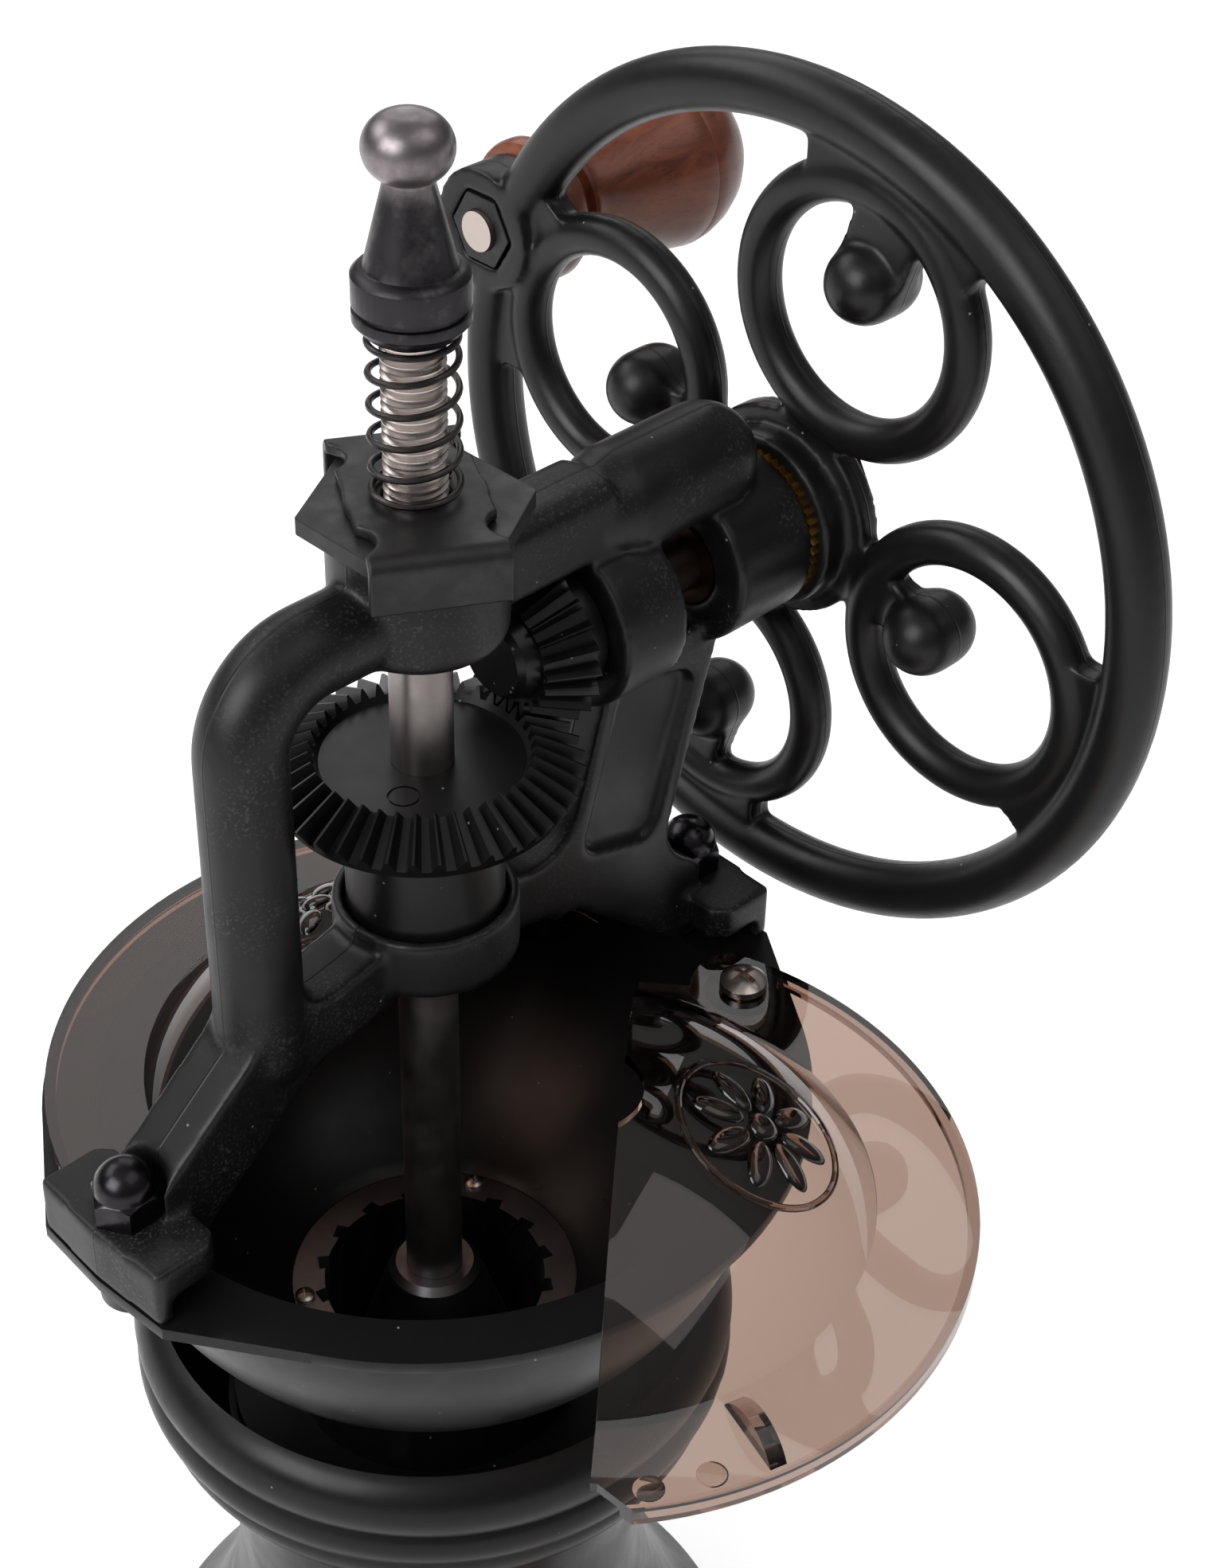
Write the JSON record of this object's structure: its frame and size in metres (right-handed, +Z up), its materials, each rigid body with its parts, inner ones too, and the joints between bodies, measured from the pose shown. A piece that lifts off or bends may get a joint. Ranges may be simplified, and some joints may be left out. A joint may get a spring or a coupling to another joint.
{
  "type": "manual coffee grinder",
  "caption": "Hand-cranked coffee grinder: scroll wheel, bevel drive and conical burrs over a round bell base with a drawer, and an open hopper under two swinging smoked covers.",
  "frame": {"origin": "on the main shaft's axis at the table, centre of the pad under the base", "axes": "+Z up along the main shaft, +X along the wheel's axle towards the wheel, -Y towards the drawer's front"},
  "size_m": [0.1648, 0.1536, 0.2778],
  "materials": {
    "moulded_black": "satin moulded, fine grain",
    "pad_rubber": "matt",
    "steel": "turned and drawn",
    "blackened_steel": "blackened, oiled",
    "burr_steel": "hardened, ground",
    "bronze": "sintered, dark",
    "brass": "bare",
    "wood": "oiled, turned",
    "smoked_clear": "clear smoked, glossy"
  },
  "bodies": {
    "stand": {"base": "moulded_black", "base_plate": "moulded_black", "plate_screws": "steel", "base_pad": "pad_rubber", "hopper": "moulded_black", "hopper_screws": "steel", "ring_burr": "burr_steel", "burr_screws": "steel", "frame": "moulded_black", "frame_studs": "blackened_steel", "cap_nuts": "blackened_steel", "shaft_bushes": "bronze", "axle_bushes": "bronze", "cover_screws": "steel"},
    "crank": {"crank_wheel": "moulded_black", "wheel_axle": "steel", "pinion": "moulded_black", "thrust_ring": "brass", "wheel_washer": "steel", "wheel_nut": "steel", "knob_bolt": "steel", "knob_nut": "steel"},
    "handle": {"crank_knob": "wood"},
    "spindle": {"main_shaft": "steel", "drive_gear": "moulded_black", "cone_burr": "burr_steel", "burr_nut": "steel", "hex_plate": "moulded_black", "clip_spring": "blackened_steel", "spring_cap": "blackened_steel"},
    "clip": {"lock_clip": "moulded_black"},
    "front_lid": {"front_cover": "smoked_clear"},
    "rear_lid": {"rear_cover": "smoked_clear"},
    "drawer": {"drawer_tray": "moulded_black", "drawer_front": "moulded_black", "drawer_knob": "wood", "drawer_screw": "steel"}
  },
  "joints": [
    {"name": "wheel_spin", "type": "hinge", "parent": "stand", "child": "crank", "pos_m": [0, 0, 0.202], "axis": [1, 0, 0], "continuous": true},
    {"name": "knob_spin", "type": "hinge", "parent": "crank", "child": "handle", "pos_m": [0.0709, 0.05695, 0.22386], "axis": [1, 0, 0], "continuous": true},
    {"name": "shaft_spin", "type": "hinge", "parent": "stand", "child": "spindle", "pos_m": [0, 0, 0.14], "axis": [0, 0, 1], "continuous": true},
    {"name": "clip_lift", "type": "slide", "parent": "spindle", "child": "clip", "axis": [0, 0, 1], "range_m": [0, 0.0065], "stiffness_N_per_m": 600, "springref_m": -0.009, "deforming": ["clip_spring"]},
    {"name": "front_cover_swing", "type": "hinge", "parent": "stand", "child": "front_lid", "pos_m": [0.041, -0.0198, 0.14], "axis": [0, 0, 1], "range_deg": [-41, 20]},
    {"name": "rear_cover_swing", "type": "hinge", "parent": "stand", "child": "rear_lid", "pos_m": [0.041, 0.0198, 0.14], "axis": [0, 0, 1], "range_deg": [-60, 0]},
    {"name": "drawer_slide", "type": "slide", "parent": "stand", "child": "drawer", "axis": [0, -1, 0], "range_m": [0, 0.035]}
  ],
  "couplings": [
    {"joint": "shaft_spin", "follows": "wheel_spin", "ratio": 0.55}
  ]
}
